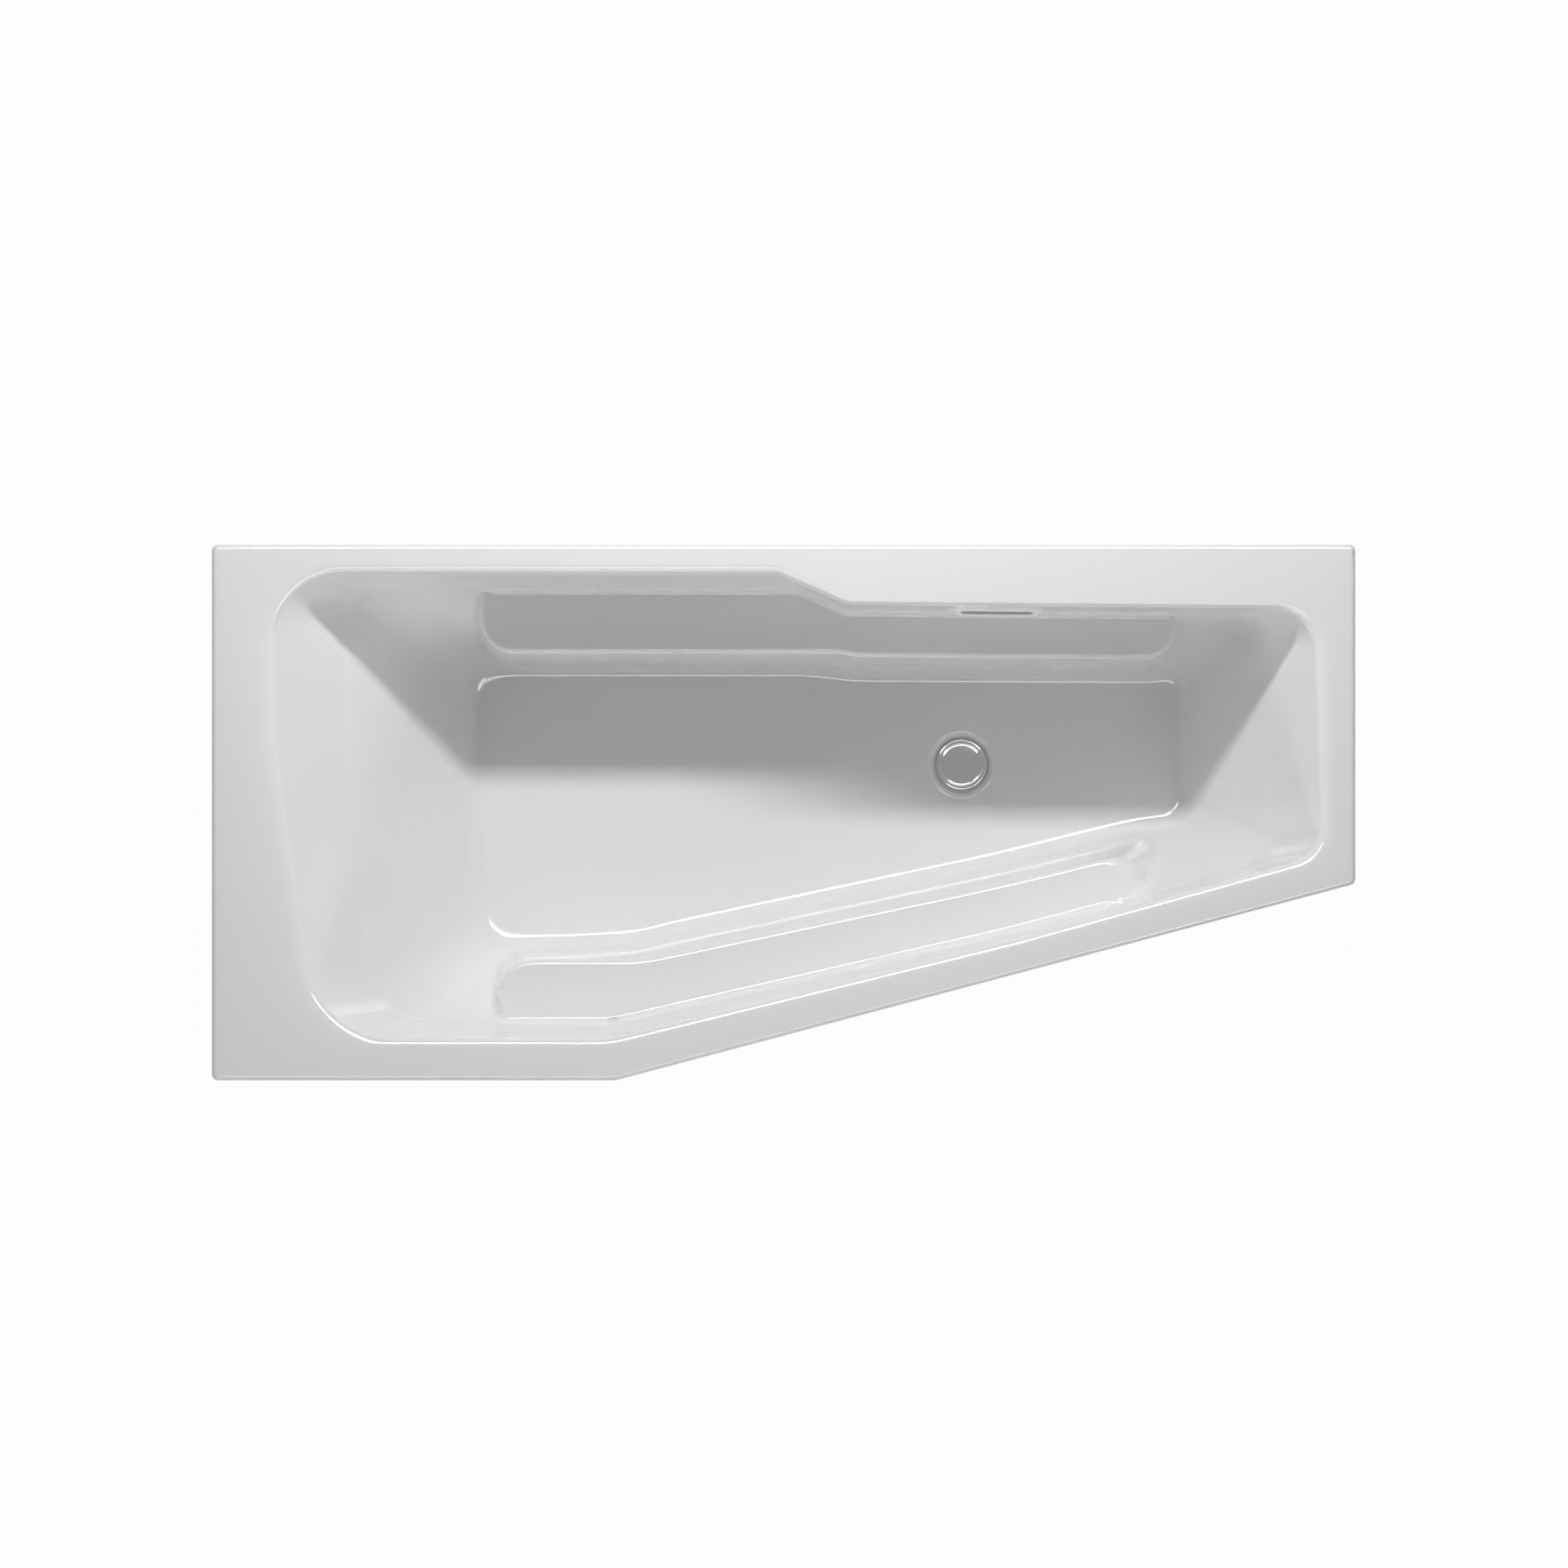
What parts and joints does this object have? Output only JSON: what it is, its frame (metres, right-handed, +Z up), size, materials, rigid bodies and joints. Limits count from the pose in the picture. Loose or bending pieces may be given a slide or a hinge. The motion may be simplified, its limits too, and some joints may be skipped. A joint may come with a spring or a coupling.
{
  "type": "bathtub",
  "caption": "Acrylic bathtub with a slanted front and narrower foot end, push-plug waste, overflow slot, trap and adjustable feet on steel rails.",
  "frame": {"origin": "middle of the bounding box at the floor under the feet", "axes": "+X along the tub from the head end to the foot end, +Y towards the back wall, +Z up"},
  "size_m": [1.6, 0.75, 0.57],
  "materials": {
    "acrylic": "glossy white sanitary acrylic",
    "chipboard": "raw moisture-proof chipboard",
    "timber": "planed softwood, unpainted",
    "rail_steel": "zinc-plated sheet steel",
    "screw_steel": "zinc-plated",
    "rod_steel": "zinc-plated threaded rod",
    "spring_steel": "stainless spring wire",
    "chrome": "polished chrome plating",
    "stem_brass": "turned brass",
    "seal_rubber": "soft black rubber",
    "guide_plastic": "moulded acetal",
    "drain_plastic": "white polypropylene",
    "union_plastic": "grey polypropylene",
    "pipe_plastic": "white polypropylene pipe",
    "foot_plastic": "black nylon"
  },
  "bodies": {
    "tub": {"tub_shell": "acrylic", "base_board": "chipboard", "back_batten": "timber", "front_batten": "timber", "head_batten": "timber", "foot_batten": "timber", "slant_batten": "timber", "head_rail": "rail_steel", "foot_rail": "rail_steel", "rail_screws": "screw_steel", "weld_nuts": "rail_steel", "lock_nuts": "screw_steel", "waste_flange": "chrome", "waste_upper_seal": "seal_rubber", "waste_lower_seal": "seal_rubber", "plug_guide": "guide_plastic", "plug_spring": "spring_steel", "waste_housing": "drain_plastic", "trap_cup": "drain_plastic", "trap_union": "union_plastic", "outlet_union": "union_plastic", "outlet_pipe": "drain_plastic", "overflow_seal": "seal_rubber", "overflow_housing": "drain_plastic", "overflow_screws": "screw_steel", "overflow_pipe": "pipe_plastic", "upper_sleeve": "seal_rubber", "lower_sleeve": "seal_rubber"},
    "plug": {"plug_cap": "chrome", "plug_seal": "seal_rubber", "plug_stem": "stem_brass"},
    "pad_head_back": {"foot_pad_head_back": "foot_plastic"},
    "rod_head_back": {"foot_rod_head_back": "rod_steel"},
    "pad_head_front": {"foot_pad_head_front": "foot_plastic"},
    "rod_head_front": {"foot_rod_head_front": "rod_steel"},
    "pad_foot_back": {"foot_pad_foot_back": "foot_plastic"},
    "rod_foot_back": {"foot_rod_foot_back": "rod_steel"},
    "pad_foot_front": {"foot_pad_foot_front": "foot_plastic"},
    "rod_foot_front": {"foot_rod_foot_front": "rod_steel"}
  },
  "joints": [
    {"name": "plug_slide", "type": "slide", "parent": "tub", "child": "plug", "axis": [0, 0, 1], "range_m": [0, 0.009], "deforming": ["plug_spring"]},
    {"name": "height_head_back", "type": "slide", "parent": "tub", "child": "pad_head_back", "axis": [0, 0, 1], "range_m": [-0.018, 0.008]},
    {"name": "turn_head_back", "type": "hinge", "parent": "pad_head_back", "child": "rod_head_back", "pos_m": [-0.3, 0.225, 0.08], "axis": [0, 0, 1], "range_deg": [-3720, 1660]},
    {"name": "height_head_front", "type": "slide", "parent": "tub", "child": "pad_head_front", "axis": [0, 0, 1], "range_m": [-0.018, 0.008]},
    {"name": "turn_head_front", "type": "hinge", "parent": "pad_head_front", "child": "rod_head_front", "pos_m": [-0.3, -0.215, 0.08], "axis": [0, 0, 1], "range_deg": [-3720, 1660]},
    {"name": "height_foot_back", "type": "slide", "parent": "tub", "child": "pad_foot_back", "axis": [0, 0, 1], "range_m": [-0.018, 0.008]},
    {"name": "turn_foot_back", "type": "hinge", "parent": "pad_foot_back", "child": "rod_foot_back", "pos_m": [0.44, 0.215, 0.08], "axis": [0, 0, 1], "range_deg": [-3720, 1660]},
    {"name": "height_foot_front", "type": "slide", "parent": "tub", "child": "pad_foot_front", "axis": [0, 0, 1], "range_m": [-0.018, 0.008]},
    {"name": "turn_foot_front", "type": "hinge", "parent": "pad_foot_front", "child": "rod_foot_front", "pos_m": [0.44, -0.07465, 0.08], "axis": [0, 0, 1], "range_deg": [-3720, 1660]}
  ],
  "couplings": [
    {"joint": "turn_head_back", "follows": "height_head_back", "rad_per_m": 3590.4},
    {"joint": "turn_head_front", "follows": "height_head_front", "rad_per_m": 3590.4},
    {"joint": "turn_foot_back", "follows": "height_foot_back", "rad_per_m": 3590.4},
    {"joint": "turn_foot_front", "follows": "height_foot_front", "rad_per_m": 3590.4}
  ]
}
